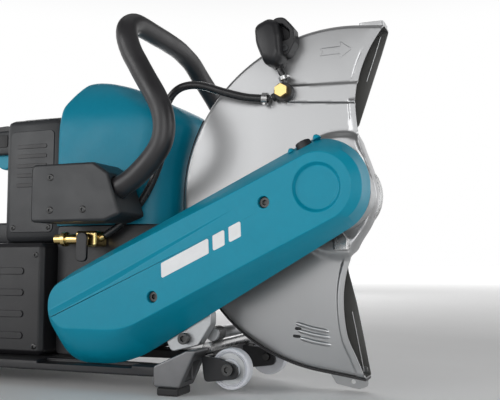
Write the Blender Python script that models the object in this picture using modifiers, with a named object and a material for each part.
"""Battery rescue saw for 355 mm cutting wheels, built as an assembly of separate pieces.

Lengths are written in millimetres and turned into metres as meshes are made. All places are measured
from the arbor point: the spindle's axis where it crosses the belt cover's flat outer face. +X points
forward to the guard, +Y to the saw's left and +Z up, and ARBOR_AT puts the arbor point over the middle
of the floor area that the saw covers.
"""

import math

import bmesh
import bpy
from mathutils import Matrix, Vector

MM = 0.001

# Driving dimensions
ARBOR_AT = (276.0, -134.5, 208.0)
FLOOR_Z = -208.0
BODY_Y = 154.0  # middle plane of the body
BASE_Y = 111.5  # middle plane of the base, its feet and rollers

GUARD_R = 186.0
GUARD_Y = (99.0, 128.0)
GUARD_SEAM_Y = 113.5
SHEET = 2.0
GUARD_ARC = (85.0, 262.0)  # degrees of the round back of the guard, from its top to its bottom
GUARD_TOP = (48.0, 182.0)
GUARD_BOTTOM = (23.5, -191.5)

SPINDLE_R = 8.5
PULLEY_R = 31.0
MOTOR_PULLEY_R = 19.0
MOTOR_AT = (-268.0, -128.0)
MOTOR_R = 44.0
BELT_Y = (14.0, 31.0)
BELT_THICK = 4.0
ARM_Y = (43.5, 61.7)
BOSS_R = 30.0
FLANGE_R = 41.0

COVER_Y = (0.0, 9.0, 43.0)  # flat face, outer edge of the chamfer, open back
COVER_WALL = 3.0

HANDLE_R = 12.0
HOSE_R = 4.5
ROLLER_AT = (-107.0, -181.0)
ROLLER_R = 21.3
ROLLER_Y = (47.0, 60.0)
CROSS_TUBE_AT = (-136.0, -161.0)
DAMPER_AT = (-134.0, -147.5)

LID_HINGE_AT = (-566.0, -43.0)
TRIGGER_AT = (-455.0, 79.0)
LOCK_OFF_AT = (-474.0, 106.0)
LOCK_BUTTON_ANGLE = 115.7  # degrees above +X, square to the belt cover's upper side
LOCK_BUTTON_Y = 34.5
POWER_AT = (-385.0, 128.0)
VALVE_AT = (-287.0, -44.0)
LATCH_AT = (145.0, -150.0)  # y and z of the lid's turn knob
GAP = 0.3


def clear_scene():
    for obj in list(bpy.data.objects):
        bpy.data.objects.remove(obj)


def collection(name):
    made = bpy.data.collections.new(name)
    bpy.context.scene.collection.children.link(made)
    return made


clear_scene()
PARTS = collection("rescue_saw")
CUTTERS = collection("cutters")
SAW = bpy.data.objects.new("saw", None)
PARTS.objects.link(SAW)
SAW.location = Vector(ARBOR_AT) * MM


def paint(name, colour, roughness, metallic=0.0):
    made = bpy.data.materials.new(name)
    made.use_nodes = True
    shader = made.node_tree.nodes["Principled BSDF"]
    shader.inputs["Base Color"].default_value = (*colour, 1.0)
    shader.inputs["Roughness"].default_value = roughness
    shader.inputs["Metallic"].default_value = metallic
    made.diffuse_color = (*colour, 1.0)
    return made


TEAL = paint("teal_plastic", (0.02, 0.30, 0.38), 0.42)
BLACK = paint("black_plastic", (0.02, 0.02, 0.022), 0.5)
GREY = paint("grey_plastic", (0.12, 0.12, 0.125), 0.5)
GUARD = paint("guard_paint", (0.42, 0.43, 0.44), 0.35, 0.6)
CAST = paint("cast_alloy", (0.55, 0.56, 0.57), 0.4, 0.8)
STEEL = paint("steel", (0.5, 0.5, 0.5), 0.3, 1.0)
BRASS = paint("brass", (0.75, 0.55, 0.22), 0.3, 1.0)
RUBBER = paint("rubber", (0.025, 0.025, 0.027), 0.75)
NYLON = paint("white_nylon", (0.78, 0.79, 0.82), 0.4)
COPPER = paint("copper", (0.6, 0.3, 0.18), 0.4, 0.9)


# Shapes


def pivot(name, at):
    """An empty on a joint's axis, which the moving pieces hang from."""
    made = bpy.data.objects.new(name, None)
    PARTS.objects.link(made)
    made.parent = SAW
    made.location = Vector(at) * MM
    return made


def add(name, mesh, material, hung_from=None, location=(0, 0, 0)):
    """A piece, or a cutter where it has no material, at its place under the saw or under a pivot."""
    obj = bpy.data.objects.new(name, mesh)
    if material is None:
        CUTTERS.objects.link(obj)
        obj.hide_render = True
        obj.display_type = "WIRE"
    else:
        PARTS.objects.link(obj)
        mesh.materials.append(material)
    obj.parent = hung_from or SAW
    obj.location = Vector(location) * MM - (hung_from.location if hung_from else Vector())
    return obj


def finish_mesh(name, bm, round_piece=False):
    bmesh.ops.recalc_face_normals(bm, faces=bm.faces)
    mesh = bpy.data.meshes.new(name)
    bm.to_mesh(mesh)
    bm.free()
    if round_piece:
        mesh.shade_smooth()
        mesh.set_sharp_from_angle(angle=math.radians(35))
    return mesh


AXES = {
    "x": lambda u, v, h: (h, u, v),
    "y": lambda u, v, h: (u, h, v),
    "z": lambda u, v, h: (u, v, h),
}


def prism(name, outline, low, high, material=None, hung_from=None, along="y"):
    """A flat outline, drawn in the other two axes in order, made solid from low to high along an axis."""
    bm = bmesh.new()
    place = AXES[along]
    face = bm.faces.new([bm.verts.new(Vector(place(u, v, low)) * MM) for u, v in outline])
    grown = bmesh.ops.extrude_face_region(bm, geom=[face])["geom"]
    moved = [v for v in grown if isinstance(v, bmesh.types.BMVert)]
    bmesh.ops.translate(bm, verts=moved, vec=Vector(place(0, 0, high - low)) * MM)
    return add(name, finish_mesh(name, bm), material, hung_from)


def box(name, low, high, material=None, hung_from=None):
    bm = bmesh.new()
    size = Vector(high) - Vector(low)
    middle = (Vector(high) + Vector(low)) / 2
    place = Matrix.Translation(middle * MM) @ Matrix.Diagonal((*(size * MM), 1.0))
    bmesh.ops.create_cube(bm, size=1.0, matrix=place)
    return add(name, finish_mesh(name, bm), material, hung_from)


def rod(name, start, end, radius, material=None, hung_from=None, sides=24, end_radius=None):
    """A round bar, or a cone, from start to end."""
    bm = bmesh.new()
    start, end = Vector(start), Vector(end)
    turn = (end - start).to_track_quat("Z", "Y").to_matrix().to_4x4()
    bmesh.ops.create_cone(
        bm,
        cap_ends=True,
        segments=sides,
        radius1=radius * MM,
        radius2=(radius if end_radius is None else end_radius) * MM,
        depth=(end - start).length * MM,
        matrix=Matrix.Translation((start + end) / 2 * MM) @ turn,
    )
    return add(name, finish_mesh(name, bm, True), material, hung_from)


def loft(name, rings, material=None, hung_from=None):
    """A skin over rings of equally many points, closed by a cap at each end."""
    bm = bmesh.new()
    rows = [[bm.verts.new(Vector(p) * MM) for p in ring] for ring in rings]
    for low, high in zip(rows, rows[1:]):
        for i in range(len(low)):
            bm.faces.new((low[i - 1], low[i], high[i], high[i - 1]))
    bm.faces.new(rows[0])
    bm.faces.new(rows[-1])
    return add(name, finish_mesh(name, bm), material, hung_from)


def turned(name, profile, at, material=None, hung_from=None, steps=36, axis="y"):
    """A loop of (radius, height) points, or a line that ends on the axis, spun round an axis."""
    if profile[0][0] == 0:
        profile = profile if profile[0][1] > profile[-1][1] else profile[::-1]
    elif sum(a[0] * b[1] - b[0] * a[1] for a, b in zip(profile, profile[1:] + profile[:1])) > 0:
        profile = profile[::-1]
    bm = bmesh.new()
    points = [bm.verts.new((r * MM, 0, h * MM)) for r, h in profile]
    for a, b in zip(points, points[1:]):
        bm.edges.new((a, b))
    if profile[0][0] != 0:
        bm.edges.new((points[-1], points[0]))
    mesh = bpy.data.meshes.new(name)
    bm.to_mesh(mesh)
    bm.free()
    obj = add(name, mesh, material, hung_from, at)
    turns = {"x": (0, math.pi / 2, 0), "y": (-math.pi / 2, 0, 0), "z": (0, 0, 0)}
    obj.rotation_euler = turns[axis]
    screw = obj.modifiers.new("turn", "SCREW")
    screw.steps = steps
    screw.render_steps = steps
    screw.use_merge_vertices = True
    screw.merge_threshold = 0.00001
    return obj


def tube(name, points, radius, material, resolution=2, hung_from=None):
    """A round tube along a line of points."""
    curve = bpy.data.curves.new(name, "CURVE")
    curve.dimensions = "3D"
    curve.bevel_depth = radius * MM
    curve.bevel_resolution = resolution
    curve.use_fill_caps = True
    spline = curve.splines.new("POLY")
    spline.points.add(len(points) - 1)
    for knot, p in zip(spline.points, points):
        knot.co = (*(Vector(p) * MM), 1.0)
    return add(name, curve, material, hung_from)


def boolean(obj, operation, others):
    for other in others:
        made = obj.modifiers.new(operation.lower(), "BOOLEAN")
        made.operation = operation
        made.object = other
    return obj


def cut(obj, *others):
    return boolean(obj, "DIFFERENCE", others)


def join(obj, *others):
    return boolean(obj, "UNION", others)


def bevel(obj, width, segments=1, angle=50):
    made = obj.modifiers.new("edges", "BEVEL")
    made.width = width * MM
    made.segments = segments
    made.limit_method = "ANGLE"
    made.angle_limit = math.radians(angle)
    return obj


# Outlines


def arc(centre, radius, start, end, count):
    """Points of an arc, its angles in degrees."""
    angles = [math.radians(start + (end - start) * i / (count - 1)) for i in range(count)]
    return [(centre[0] + radius * math.cos(a), centre[1] + radius * math.sin(a)) for a in angles]


def rounded(corners, steps=4):
    """A closed outline with round corners, each corner (u, v, radius)."""
    outline = []
    for i, (u, v, radius) in enumerate(corners):
        corner = Vector((u, v))
        back = (Vector(corners[i - 1][:2]) - corner).normalized()
        ahead = (Vector(corners[(i + 1) % len(corners)][:2]) - corner).normalized()
        half = back.angle(ahead) / 2
        centre = corner + (back + ahead).normalized() * (radius / math.sin(half))
        spoke = corner + back * (radius / math.tan(half)) - centre
        turn = math.copysign(math.pi - 2 * half, back.y * ahead.x - back.x * ahead.y)
        outline += [tuple(centre + Matrix.Rotation(turn * k / steps, 2) @ spoke) for k in range(steps + 1)]
    return outline


def smooth(points, per_span):
    """Points along a smooth curve through the given ones."""
    points = [Vector(p) for p in points]
    ends = [2 * points[0] - points[1], *points, 2 * points[-1] - points[-2]]
    line = [tuple(points[0])]
    for a, b, c, d in zip(ends, ends[1:], ends[2:], ends[3:]):
        for k in range(1, per_span + 1):
            t = k / per_span
            line.append(tuple((2 * b + (c - a) * t + (2 * a - 5 * b + 4 * c - d) * t**2
                               + (3 * b - a - 3 * c + d) * t**3) / 2))
    return line


def at_y(outline, y):
    return [(x, y, z) for x, z in outline]


# Cutting head: belt drive, arm and spindle


def cover_outline(top, top_slope, front, bottom, bottom_slope, floor, rear, radii, inset=0.0):
    """The belt cover's outline: sloping lines that pass the arbor point at the distances top and bottom, a
    round nose at front, a level underside at floor and a round rear end."""
    rise, fall = math.radians(top_slope), math.radians(bottom_slope)
    upper = (top - inset) / math.cos(rise)
    lower = (bottom - inset) / math.cos(fall)
    front, rear, floor = front - inset, rear + inset, floor + inset
    knee = (floor + lower) / math.tan(fall)
    nose, chin, belly, heel, crown = [max(r - inset, 4.0) for r in radii]
    return rounded(
        [
            (front, upper + front * math.tan(rise), nose),
            (rear, upper + rear * math.tan(rise), crown),
            (rear, floor, heel),
            (knee, floor, belly),
            (front, -lower + front * math.tan(fall), chin),
        ],
        7,
    )


def cover_back(inset=0.0):
    return cover_outline(55.4, 25.7, 43.1, 43.7, 30.4, -181.8, -318.0, (49, 43, 127, 45, 40), inset)


def cover_edge(inset=0.0):
    return cover_outline(39.1, 24.9, 42.0, 38.7, 26.4, -156.0, -306.0, (39, 35, 110, 37, 27), inset)


def cover_face(inset=0.0):
    return cover_outline(33.5, 24.9, 33.5, 33.7, 26.4, -141.0, -298.0, (33, 33, 90, 22, 15), inset)


def lock_button_at(distance):
    """A point on the shaft lock button's axis, at a distance from the spindle's axis."""
    angle = math.radians(LOCK_BUTTON_ANGLE)
    return (distance * math.cos(angle), LOCK_BUTTON_Y, distance * math.sin(angle))


COVER_SCREWS_AT = {"cover_screw_front": (-53.0, -13.0), "cover_screw_rear": (-173.5, -106.0)}
ARM_BOLT_AT = (-157.0, -151.0)


def make_belt_cover():
    face, edge, back = COVER_Y
    outside = [at_y(cover_face(), face), at_y(cover_edge(), edge), at_y(cover_back(), back)]
    cover = loft("belt_cover", outside, TEAL)
    hollow = loft(
        "cover_hollow",
        [
            at_y(cover_face(COVER_WALL), COVER_WALL + 0.5),
            at_y(cover_edge(COVER_WALL), edge + COVER_WALL),
            at_y(cover_back(COVER_WALL), back + 1),
        ],
    )
    dish = turned("cover_dish", [(0, -1), (24.5, -1), (20.5, 5), (0, 5)], (0, face, 0), steps=40)
    button_hole = rod("cover_button_hole", lock_button_at(30), lock_button_at(70), 9.0)
    cut(cover, hollow)
    join(cover, rod("cover_dish_boss", (0, 2, 0), (0, 8.5, 0), 28.0, sides=32))
    cut(cover, dish, button_hole)
    for name, (x, z) in COVER_SCREWS_AT.items():
        join(cover, rod(name + "_boss", (x, 2, z), (x, 12.5, z), 9.0))
        cut(cover, rod(name + "_recess", (x, -1, z), (x, 9, z), 6.2))
        cut(cover, rod(name + "_hole", (x, 7, z), (x, 14, z), 2.4, sides=16))
        screw = rod(name, (x, 4, z), (x, 9 - GAP, z), 5.2, STEEL)
        shank = rod(name + "_shank", (x, 8, z), (x, ARM_Y[1] - 6, z), 2.0, sides=16)
        socket = rod(name + "_socket", (x, 2, z), (x, 7, z), 2.6, sides=6)
        join(cut(screw, socket), shank)


def belt_outline(grow):
    """The outline of a loop round both pulleys, grow outside them."""
    across = Vector(MOTOR_AT)
    lean = math.degrees(math.acos((PULLEY_R - MOTOR_PULLEY_R) / across.length))
    heading = math.degrees(math.atan2(across.y, across.x)) % 360
    big = arc((0, 0), PULLEY_R + grow, heading + lean - 360, heading - lean, 25)
    small = arc(MOTOR_AT, MOTOR_PULLEY_R + grow, heading - lean, heading + lean, 17)
    return big + small


def make_belt():
    belt = prism("drive_belt", belt_outline(GAP + 0.1 + BELT_THICK), *BELT_Y, RUBBER)
    cut(belt, prism("belt_inside", belt_outline(GAP + 0.1), BELT_Y[0] - 1, BELT_Y[1] + 1))


def make_arm():
    low, high = ARM_Y
    body = cover_outline(51.0, 25.7, 39.0, 39.5, 30.4, -177.0, -313.0, (45, 39, 120, 41, 36))
    arm = prism("arm", body, low, high, CAST)
    lug = rounded([(-128, -118, 6), (-128, -136, 6), (-142, -158, 5), (-174, -166, 5), (-192, -130, 6)], 2)
    join(arm, prism("arm_lug", lug, low + 1, high - 2))
    root, step, end = low + 4, 92.0, 101.4
    boss = [(0, root), (38, root), (38, step), (BOSS_R, step), (BOSS_R, end), (0, end)]
    join(arm, turned("arm_boss", boss, (0, 0, 0)))
    motor_x, motor_z = MOTOR_AT
    x, z = ARM_BOLT_AT
    cut(
        arm,
        rod("arm_bore", (0, low - 1, 0), (0, 110, 0), 17.8, sides=36),
        rod("arm_motor_bore", (motor_x, low - 1, motor_z), (motor_x, high + 1, motor_z), 9.0),
        rod("arm_bolt_hole", (x, low - 1, z), (x, high + 1, z), 3.6),
    )
    bolt = rod("arm_bolt", (x, low - GAP - 6, z), (x, low - GAP, z), 6.0, STEEL)
    cut(bolt, rod("arm_bolt_socket", (x, low - 10, z), (x, low - 3.5, z), 3.0, sides=6))
    join(bolt, rod("arm_bolt_shank", (x, low - 2, z), (x, high - 1, z), 3.2, sides=16))
    for name, (x, z) in COVER_SCREWS_AT.items():
        cut(arm, rod(name + "_thread", (x, low - 1, z), (x, high - 5, z), 2.4, sides=16))
    ring = [(17.5, 46), (17.5, 98), (SPINDLE_R + GAP, 98), (SPINDLE_R + GAP, 46)]
    turned("spindle_bearing", ring, (0, 0, 0), STEEL)
    bracket = [(-6, -38.6), (-6, -59), (10, -59), (10, -46), (4, -38.6)]
    bevel(prism("guard_stop_bracket", bracket, 84, 92, STEEL), 1.2)


def make_spindle(hung_from):
    end = 121.0
    spindle = rod("spindle", (0, 12, 0), (0, end, 0), SPINDLE_R, STEEL, hung_from)
    cut(spindle, rod("spindle_thread", (0, 98, 0), (0, end + 1, 0), 5.4, sides=16))
    web, hub = BELT_Y[0] - 0.5, BELT_Y[1] + 0.5
    turned(
        "driven_pulley",
        [(PULLEY_R, web), (PULLEY_R, hub), (21.5, hub), (21.5, 42), (8.8, 42), (8.8, web)],
        (0, 0, 0),
        CAST,
        hung_from,
        48,
    )
    seat = [(12.7, 111.5), (12.7, 115.2), (8.8, 115.2)]
    inner = [(FLANGE_R, 105.5), (FLANGE_R, 111.5), *seat, (8.8, 103.5), (14, 103.5), (14, 105.5)]
    turned("inner_flange", inner, (0, 0, 0), STEEL, hung_from, 40)
    outer = [(FLANGE_R, 115.5), (FLANGE_R, 118), (34, 121.5), (8.8, 121.5), (8.8, 115.5)]
    turned("outer_flange", outer, (0, 0, 0), STEEL, hung_from, 40)
    bolt = rod("arbor_bolt", (0, 121.8, 0), (0, 124.2, 0), 14.0, STEEL, hung_from)
    head = rod("arbor_bolt_head", (0, 123, 0), (0, 131, 0), 10.0, sides=6)
    join(bolt, head, rod("arbor_bolt_shank", (0, 99, 0), (0, 123, 0), 5.0, sides=16))


def make_motor(hung_from):
    x, z = MOTOR_AT
    low, high = BELT_Y[0] - 0.5, BELT_Y[1] + 0.5
    pulley = [(MOTOR_PULLEY_R, low), (MOTOR_PULLEY_R, high), (5.3, high), (5.3, low)]
    turned("drive_pulley", pulley, (x, 0, z), CAST, hung_from, 36)
    rotor = [(0, 12), (5, 12), (5, 66), (8, 66), (8, 86), (24, 86), (24, 150), (8, 150), (8, 172), (0, 172)]
    turned("motor_rotor", rotor, (x, 0, z), STEEL, hung_from, 32)
    stator = [(MOTOR_R - 3.4, 84), (MOTOR_R - 3.4, 152), (24.6, 152), (24.6, 84)]
    turned("motor_stator", stator, (x, 0, z), COPPER, steps=36)
    can = [(MOTOR_R, 62), (MOTOR_R, 180), (MOTOR_R - 3, 180), (MOTOR_R - 3, 66), (8.6, 66), (8.6, 62)]
    turned("motor_housing", can, (x, 0, z), CAST, steps=36)


def make_shaft_lock(hung_from):
    button = rod("shaft_lock_button", lock_button_at(41), lock_button_at(54.5), 8.0, BLACK, hung_from)
    join(button, rod("shaft_lock_pin", lock_button_at(26.5), lock_button_at(43), 2.3, sides=16))


# Guard


def guard_outline(radius, mouth, bottom, top):
    """The outline of a guard's side: its round back, the bottom tip, the mouth's edge and the top tip."""
    return arc((0, 0), radius, *GUARD_ARC, 32) + [bottom] + mouth + [top]


NEAR_MOUTH = smooth(
    [
        (14, -169),
        (5.5, -149),
        (2, -124),
        (2.2, -100),
        (7, -76),
        (17, -52),
        (30, -31),
        (38.5, -9),
        (38.5, 8),
        (30.4, 33),
        (21, 60),
        (17, 88),
        (17.2, 108),
        (22.5, 134),
        (33, 159),
    ],
    2,
)
FAR_MOUTH = [
    (15.7, -149),
    (8.8, -115),
    (0, -81),
    *arc((0, 0), 62, 268, 92, 19),
    (13.7, 80),
    (28, 122),
    (40, 157),
]


def guard_cavity(name, low, high):
    top, bottom, ahead = GUARD_TOP, GUARD_BOTTOM, 80.0
    outline = arc((0, 0), GUARD_R - SHEET, *GUARD_ARC, 32)
    outline += [(bottom[0], bottom[1] + SHEET), (ahead, bottom[1] - 6)]
    outline += [(ahead, top[1] - 2 * SHEET), (top[0], top[1] - SHEET)]
    return prism(name, outline, low, high)


def make_guard(hung_from):
    low, high = GUARD_Y
    top, bottom = GUARD_TOP, GUARD_BOTTOM
    near_side = guard_outline(GUARD_R, NEAR_MOUTH, bottom, top)
    near = prism("guard_near_shell", near_side, low, GUARD_SEAM_Y - 0.2, GUARD, hung_from)
    hub_hole = rod("guard_hub_hole", (0, low - 2, 0), (0, low + 4, 0), BOSS_R + 0.8, sides=48)
    cut(near, guard_cavity("near_cavity", low + SHEET, high), hub_hole)
    far_side = guard_outline(GUARD_R, FAR_MOUTH, bottom, top)
    far = prism("guard_far_shell", far_side, GUARD_SEAM_Y + 0.2, high, GUARD, hung_from)
    cut(far, guard_cavity("far_cavity", low, high - SHEET))
    tab = rounded([(-27, -182, 2), (-15, -202, 4), (10, -206.5, 4), (20, -203, 4), (20, -182, 2)], 2)
    join(far, prism("guard_tab", tab, high - SHEET + 0.2, high - 0.2))
    cut(far, rod("guard_tab_hole", (4, high - 4, -199), (4, high + 2, -199), 2.6, sides=16))
    inside, outside = GUARD_R + 0.4, GUARD_R + 2.8
    strip = arc((0, 0), outside, 150, GUARD_ARC[1], 22)
    strip += [(bottom[0] - 0.4, bottom[1] - 2.8), (bottom[0], bottom[1] - 0.5)]
    strip += arc((0, 0), inside, GUARD_ARC[1], 150, 22)
    prism("guard_edge_strip", strip, low + 1.5, high - 2.4, RUBBER, hung_from)


GRIP_OUTLINE = [  # x, z and corner radius
    (-90, 190, 8),
    (-88, 168, 30),
    (-78, 145, 6),
    (-62, 142, 6),
    (-54, 157, 6),
    (-46, 166, 6),
    (-46, 184, 8),
    (-64, 199, 12),
]
BANJO_AT = (-61.0, 115.0)


def make_guard_fittings(hung_from):
    wall = GUARD_Y[0] - GAP
    shape = rounded(GRIP_OUTLINE, 3)
    middle = Vector((-66, 172))
    smaller = [tuple(middle + (Vector(p) - middle) * 0.86) for p in shape]
    grip = loft("guard_grip", [at_y(smaller, 66), at_y(shape, 72), at_y(shape, wall)], BLACK, hung_from)
    hose = [(-64.5, 86, 139), (-62, 86.5, 134), (-59.6, 87.5, 127)]
    cut(grip, rod("grip_hose_hole", (-66.5, 86, 152), (-63.5, 86, 134), 4.2, sides=16))
    tube("grip_hose", [(-66, 86, 147), *hose], 3.4, RUBBER, 2, hung_from)
    x, z = BANJO_AT
    body = rod("banjo_body", (x, 84.3, z), (x, wall, z), 10.5, BLACK, hung_from)
    join(body, rod("banjo_up", (x + 0.5, 88, z), (x + 1.9, 88, z + 9), 3.9, sides=16))
    join(body, rod("banjo_back", (x, 89, z), (x - 13, 89, z - 5.5), 4.6, sides=16))
    cut(body, rod("banjo_bore", (x, 80, z), (x, wall + 2, z), 4.4, sides=16))
    bolt = rod("banjo_bolt", (x, 76, z), (x, 84, z), 7.8, BRASS, hung_from, sides=6)
    join(bolt, rod("banjo_bolt_shank", (x, 82, z), (x, wall, z), 4.0, sides=16))
    for name, start, end, inside, outside in HOSE_CLAMPS:
        clamp = rod(name, start, end, outside, STEEL, hung_from)
        along = (Vector(end) - Vector(start)).normalized()
        cut(clamp, rod(name + "_hole", Vector(start) - along, Vector(end) + along, inside))


HOSE_CLAMPS = (
    ("hose_clamp_upper", (-60.1, 87.3, 128.4), (-61.5, 86.7, 132.4), 4.1, 5.7),
    ("hose_clamp_lower", (-79.5, 88.8, 109.1), (-86.0, 88.2, 109.8), 5.0, 6.6),
)
HOSE_ROUTE = [
    (-77.5, 89, 108.9),
    (-88, 88, 110),
    (-105, 84, 112),
    (-127, 78, 118),
    (-148, 72, 125),
    (-163, 68, 127),
    (-177, 66, 124),
    (-188, 66, 115),
    (-194, 66, 100),
    (-195, 66, 78),
    (-197, 66, 55),
    (-204, 66, 34),
    (-213, 66, 15),
    (-224, 66, -2),
    (-238, 66, -17),
    (-253, 65, -30),
    (-268, 63, -40),
]


def make_water_supply(lever_pivot):
    tube("water_hose", smooth(HOSE_ROUTE, 2), HOSE_R, RUBBER, 3)
    x, z = VALVE_AT
    valve = box("water_valve", (x - 14, 50, z - 9), (x + 14, 75 - GAP, z + 9), BRASS)
    bevel(valve, 2)
    join(valve, rod("valve_inlet", (x - 12, 59, z), (x - 46, 59, z), 6.0, sides=20))
    join(valve, rod("valve_collar", (x - 30, 59, z), (x - 36, 59, z), 8.5, sides=20))
    join(valve, rod("valve_outlet", (x + 12, 61, z + 0.5), (x + 18.2, 62, z + 3), 4.0, sides=16))
    join(valve, rod("valve_stem", (x, 52, z), (x, 46, z), 4.0, sides=16))
    top, bottom, half = z + 7, z - 26, 7
    corners = [(x - half, top, 5), (x - half, bottom, 5), (x + half, bottom, 5), (x + half, top, 5)]
    prism("valve_lever", rounded(corners, 3), 41.5, 45.7, BLACK, lever_pivot)


# Body


def plan_ring(front, rear, right, left, front_r, rear_r, z):
    corners = [(front, right, front_r), (front, left, front_r), (rear, left, rear_r), (rear, right, rear_r)]
    return [(x, y, z) for x, y in rounded(corners, 6)]


HOOD_RINGS = (  # height, front, half of the width, radius of the front corners
    (-27, -197, 82, 45),
    (30, -195, 82, 45),
    (70, -186, 82, 45),
    (90, -182, 81, 44),
    (105, -193, 78, 42),
    (118, -212, 72, 40),
    (130, -238, 64, 34),
    (142, -262, 53, 28),
    (151, -290, 41, 18),
    (156, -312, 28, 10),
)


def hood_rings(inset, cut_off):
    rings = []
    for z, front, half, radius in HOOD_RINGS:
        rear = -345 + max(0, z - 118) * 0.4
        sides = (BODY_Y - half + inset, BODY_Y + half - inset)
        rings.append(plan_ring(front - inset, rear + inset, *sides, max(radius - inset, 3), 8, z - cut_off))
    return rings


def make_hood():
    hood = loft("hood", hood_rings(0, 0), TEAL)
    inner = hood_rings(3, 3)
    cut(hood, loft("hood_inside", [[(x, y, z - 2) for x, y, z in inner[0]], *inner[1:]]))


def make_lower_housing():
    side = [(-203, -27.6, 4), (-342, -27.6, 4), (-342, -178.5, 6)]
    side += [(-256, -178.5, 10), (-226, -160, 12), (-203, -122, 14)]
    inside = [(-206, -20, 3), (-339, -20, 3), (-339, -175.5, 4)]
    inside += [(-257, -175.5, 8), (-228.5, -158, 10), (-206, -121, 12)]
    housing = prism("lower_housing", rounded(side, 3), 75, 233, BLACK)
    x, z = MOTOR_AT
    cut(housing, prism("lower_housing_inside", rounded(inside, 3), 78, 230))
    cut(housing, rod("motor_opening", (x, 70, z), (x, 80, z), MOTOR_R + 0.4, sides=40))
    for i in range(6):
        low = -150 + i * 18
        cut(housing, box(f"vent_{i}", (-310, 228, low), (-235, 236, low + 7)))


RIGHT_LEG = [
    (-262, 22, 0),
    (-244, 22, 4),
    (-228, 22, 9.5),
    (-213, 22, 17),
    (-201, 22, 26),
    (-186, 22, 41),
    (-176, 22, 56),
    (-173, 22, 73),
    (-176, 22, 91),
    (-184, 22, 108),
    (-195, 22, 126),
    (-205, 22, 143),
    (-214, 22, 159),
    (-220, 23, 175),
    (-223, 29, 188),
    (-223, 42, 196),
    (-223, 60, 198),
]
HANDLE_TOP = [(-223, 90, 198), (-223, 120, 198), (-223, 150, 197), (-223, 170, 194)]
LEFT_LEG = [
    (-221, 190, 187),
    (-218, 210, 173),
    (-211, 228, 154),
    (-203, 241, 134),
    (-194, 250, 113),
    (-186, 255, 92),
    (-182, 257, 70),
    (-184, 257, 50),
    (-193, 256, 32),
    (-209, 254, 18),
    (-235, 252, 8),
    (-262, 252, 4),
]


def make_front_handle():
    tube("front_handle", smooth([*RIGHT_LEG, *HANDLE_TOP, *LEFT_LEG], 1), HANDLE_R, RUBBER, 4)
    right = [(-216, -20, 3), (-232, 25, 3), (-250, 37, 5), (-330, 37, 5), (-330, -27, 4), (-235, -27, 4)]
    mount = bevel(prism("handle_mount_right", rounded(right, 2), 6, 60.4, GREY), 1.5)
    join(mount, box("handle_mount_foot", (-328, 55, -20), (-296, 72 - GAP, 28)))
    cut(mount, tube_socket("right_socket", RIGHT_LEG[0], RIGHT_LEG[2], RIGHT_LEG[3]))
    left = [(-222, -20, 3), (-226, 24, 3), (-238, 32, 5), (-330, 32, 5), (-330, -27, 4), (-235, -27, 4)]
    mount = bevel(prism("handle_mount_left", rounded(left, 2), 236.6, 268, GREY), 1.5)
    cut(mount, tube_socket("left_socket", LEFT_LEG[-1], LEFT_LEG[-2], LEFT_LEG[-3]))


def tube_socket(name, end, near, out):
    """A cutter for the hole that a leg of the front handle stands in, a little wider than the leg."""
    deepest = Vector(end) + (Vector(end) - Vector(near)).normalized()
    beyond = Vector(out) + (Vector(out) - Vector(near)).normalized() * 12
    points = smooth([deepest, near, out, beyond], 2)
    rings = []
    for i, p in enumerate(points):
        along = (Vector(points[min(i + 1, len(points) - 1)]) - Vector(points[max(i - 1, 0)])).normalized()
        up = Vector((0, 1, 0)).cross(along).normalized()
        side = along.cross(up)
        circle = arc((0, 0), HANDLE_R + 0.8, 0, 345, 24)
        rings.append([Vector(p) + side * u + up * v for u, v in circle])
    return loft(name, rings)


def make_rear_housing(button_pivot):
    shell = bevel(box("rear_housing", (-430, 84, -47.3), (-345.6, 224, 108), GREY), 9, 2)
    cut(shell, box("rear_housing_inside", (-425.5, 88.5, -42.5), (-340, 219.5, 103.5)))
    x, y = POWER_AT
    panel = bevel(box("control_panel", (-418, 104, 108.3), (-362, 204, 111.3), BLACK), 1)
    cut(panel, rod("power_button_hole", (x, y, 105), (x, y, 115), 7.6))
    cut(shell, rod("power_button_well", (x, y, 105), (x, y, 115), 8.2))
    button = rod("power_button", (x, y, 106), (x, y, 113), 7.0, TEAL, button_pivot)
    return button


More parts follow.
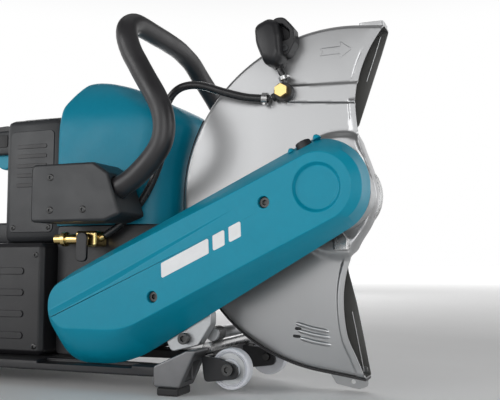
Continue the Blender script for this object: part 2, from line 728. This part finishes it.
def make_rear_handle(trigger_pivot, lock_off_pivot):
    outside = [(-430.3, 107, 3), (-525, 107, 40), (-588, 72, 24)]
    outside += [(-583, 0, 30), (-540, -46.5, 14), (-430.3, -46.5, 3)]
    inside = [(-448, 74, 10), (-516, 74, 26), (-556, 50, 16)]
    inside += [(-553, 4, 18), (-531, -18, 12), (-448, -18, 12)]
    right, left = BODY_Y - 16, BODY_Y + 16
    handle = prism("rear_handle", rounded(outside), right, left, GREY)
    cut(handle, prism("rear_handle_loop", rounded(inside), right - 5, left + 5))
    bevel(handle, 7, 2, 60)
    cut(handle, box("trigger_slot", (-513, BODY_Y - 9, 62), (-449, BODY_Y + 9, 93)))
    cut(handle, box("lock_off_slot", (-548, BODY_Y - 6, 97.2), (-466, BODY_Y + 6, 120)))
    shape = [(-451, 85, 3), (-509, 85, 2), (-505, 66, 6), (-482, 54, 10), (-462, 62, 8), (-451, 72, 4)]
    trigger = prism("trigger", rounded(shape, 3), BODY_Y - 8, BODY_Y + 8, TEAL, trigger_pivot)
    x, z = TRIGGER_AT
    cut(trigger, rod("trigger_pin_hole", (x, BODY_Y - 9, z), (x, BODY_Y + 9, z), 2.6, sides=16))
    join(handle, rod("trigger_pin", (x, right + 2, z), (x, left - 2, z), 2.2, sides=16))
    coil = [
        (-495 + 3.0 * math.cos(0.9 * i), BODY_Y + 3.0 * math.sin(0.9 * i), 85.9 + 6.0 * i / 27)
        for i in range(28)
    ]
    tube("trigger_spring", coil, 0.5, STEEL, 0)
    shape = [(-468, 110, 3), (-480, 116, 10), (-536, 113, 6)]
    shape += [(-544, 107, 2), (-543, 104.6, 1), (-468, 99, 2)]
    prism("lock_off_lever", rounded(shape, 3), BODY_Y - 5, BODY_Y + 5, BLACK, lock_off_pivot)


# Battery bay


BAY_Y = (52.0, 240.0)
BAY_REAR = -560.0


def knuckle(name, low, high, foot, radius=4.7):
    """A hinge knuckle round the lid's pin, widening to its foot."""
    outline = arc(LID_HINGE_AT, radius, 40, 200, 9) + foot
    return prism(name, outline, low, high)


def make_battery_bay(lid_pivot, latch_pivot):
    right, left = BAY_Y
    case = bevel(box("battery_case", (BAY_REAR, right, -178.6), (-345.6, left, -47.8), BLACK), 5)
    cut(case, box("battery_bay", (BAY_REAR - 5, right + 4, -174), (-380, left - 4, -58)))
    x, z = LID_HINGE_AT
    case_foot = [(-559.5, -47.6), (-559.5, -52), (-540, -52), (-540, -47)]
    for name, low in (("case_knuckle_right", 92), ("case_knuckle_left", 178)):
        join(case, knuckle(name, low, low + 18, case_foot))
    join(case, rod("lid_pin", (x, 64, z), (x, 224, z), 2.5, sides=16))
    lid_corners = ((-592, right - 2, -178), (BAY_REAR - 1, left + 2, -48.6))
    lid = bevel(box("battery_lid", *lid_corners, GREY, lid_pivot), 6)
    cut(lid, box("lid_inside", (-588, right + 2, -174), (-550, left - 2, -53)))
    lid_foot = [(-576, -52), (-561.4, -52), (-561.4, -43)]
    for name, low in (("lid_knuckle_right", 68), ("lid_knuckle_left", 202)):
        join(lid, knuckle(name, low, low + 18, lid_foot))
    cut(lid, rod("lid_pin_hole", (x, right - 4, z), (x, left + 4, z), 2.9, sides=16))
    y, z = LATCH_AT
    cut(lid, rod("latch_hole", (-600, y, z), (-580, y, z), 4.6))
    latch = rod("lid_latch", (-595.5, y, z), (-592.3, y, z), 15.0, BLACK, latch_pivot)
    join(latch, box("latch_bar", (-600, y - 12, z - 3), (-594, y + 12, z + 3)))
    join(latch, rod("latch_stem", (-594, y, z), (-583, y, z), 4.2))
    join(latch, box("latch_cam", (-587.2, y - 11, z - 4), (-583.5, y + 11, z + 4)))
    for name, low in (("battery_right", right + 7), ("battery_left", 150.0)):
        pack = box(name, (-552, low, -170), (-400, low + 82, -88), BLACK)
        bevel(join(pack, box(name + "_rail", (-545, low + 14, -92), (-402, low + 68, -66))), 3)


# Base


def both_sides(name, build):
    """Builds a piece on the right of the base, and its mirror image on the left."""
    for side, sign in (("right", 1), ("left", -1)):
        build(f"{name}_{side}", lambda y, sign=sign: BASE_Y + sign * (y - BASE_Y))


def span(place, near, far):
    return sorted((place(near), place(far)))


def make_foot(name, place):
    side = [(-132, -159.5, 2), (-144, -161, 3), (-181, -178, 3)]
    side += [(-181, -199, 3), (-151, -199, 3), (-136, -167, 2)]
    foot = bevel(prism(name, rounded(side, 2), *span(place, 18, 52.3), CAST), 1.0)
    right, left = span(place, 26, 46)
    cut(foot, box(name + "_pocket", (-150, right, -193), (-120, left, -172)))


def make_foot_pad(name, place):
    y = span(place, 19.5, 50.5)
    bevel(box(name, (-178, y[0], FLOOR_Z), (-153, y[1], -199.3), RUBBER), 1.5)


def make_fork(name, place):
    side = [(-137.6, -168, 2), (-117, -170, 4), (-97, -177, 8), (-96, -190, 6), (-134, -195, 4)]
    y = span(place, 42, 65)
    fork = prism(name, rounded(side, 3), *y, GREY)
    slot = span(place, ROLLER_Y[0] - 1, ROLLER_Y[1] + 1)
    x, z = ROLLER_AT
    cut(fork, box(name + "_slot", (-130.5, slot[0], -210), (-60, slot[1], -150)))
    cut(fork, rod(name + "_hole", (x, y[0] - 1, z), (x, y[1] + 1, z), 4.4, sides=16))


def make_roller_bolt(name, place):
    x, z = ROLLER_AT
    bolt = rod(name, (x, place(38), z), (x, place(41.7), z), 6.2, STEEL)
    cut(bolt, rod(name + "_socket", (x, place(36), z), (x, place(40), z), 3.0, sides=6))
    join(bolt, rod(name + "_shank", (x, place(41), z), (x, place(68), z), 4.0, sides=16))


def make_roller(name, place):
    x, z = ROLLER_AT
    hung_from = pivot(name + "_axis", (x, place(53.5), z))
    y = span(place, *ROLLER_Y)
    low, high = y
    profile = [(ROLLER_R - 1, low), (ROLLER_R, low + 1), (ROLLER_R, high - 1), (ROLLER_R - 1, high)]
    profile += [(4.5, high), (4.5, low)]
    turned(name, profile, (x, 0, z), NYLON, hung_from, 36)


def make_base():
    plan = [(-181.3, 24), (-181.3, 46), (-200, 52), (-345, 60), (-345, 163)]
    plan += [(-200, 171), (-181.3, 177), (-181.3, 199), (-556, 199), (-556, 24)]
    frame = bevel(prism("base_frame", plan, -190, -178.9, BLACK, along="z"), 1.5)
    cut(frame, box("base_cover_relief", (-330, 20, -182.2), (-210, COVER_Y[2] + 0.6, -170)))
    for name, y in (("rear_foot_right", 28), ("rear_foot_left", 155)):
        join(frame, bevel(box(name, (-552, y, FLOOR_Z), (-522, y + 40, -186)), 1.5))
    both_sides("foot", make_foot)
    both_sides("foot_pad", make_foot_pad)
    both_sides("fork", make_fork)
    both_sides("roller_bolt", make_roller_bolt)
    both_sides("roller", make_roller)
    x, z = CROSS_TUBE_AT
    far = 2 * BASE_Y - 52.6
    rod("cross_tube", (x, 52.6, z), (x, far, z), 5.5, CAST, sides=20)
    x, z = DAMPER_AT
    bar = rod("damper_bar", (x, 80, z), (x, far, z), 7.0, CAST)
    join(bar, rod("damper_sleeve", (x, ARM_Y[1] + GAP, z), (x, 85, z), 7.6))


def main():
    guard_axis = pivot("guard_axis", (0, GUARD_SEAM_Y, 0))
    spindle_axis = pivot("spindle_axis", (0, GUARD_SEAM_Y, 0))
    motor_axis = pivot("motor_axis", (MOTOR_AT[0], 100, MOTOR_AT[1]))
    make_belt_cover()
    make_belt()
    make_arm()
    make_spindle(spindle_axis)
    make_motor(motor_axis)
    make_shaft_lock(pivot("shaft_lock_axis", lock_button_at(45)))
    make_guard(guard_axis)
    make_guard_fittings(guard_axis)
    make_water_supply(pivot("valve_axis", (VALVE_AT[0], 44, VALVE_AT[1])))
    make_hood()
    make_lower_housing()
    make_front_handle()
    make_rear_housing(pivot("power_button_axis", (*POWER_AT, 108)))
    trigger_axis = pivot("trigger_axis", (TRIGGER_AT[0], BODY_Y, TRIGGER_AT[1]))
    make_rear_handle(trigger_axis, pivot("lock_off_axis", (LOCK_OFF_AT[0], BODY_Y, LOCK_OFF_AT[1])))
    lid_axis = pivot("lid_axis", (LID_HINGE_AT[0], BODY_Y, LID_HINGE_AT[1]))
    make_battery_bay(lid_axis, pivot("latch_axis", (-592, *LATCH_AT)))
    make_base()


main()
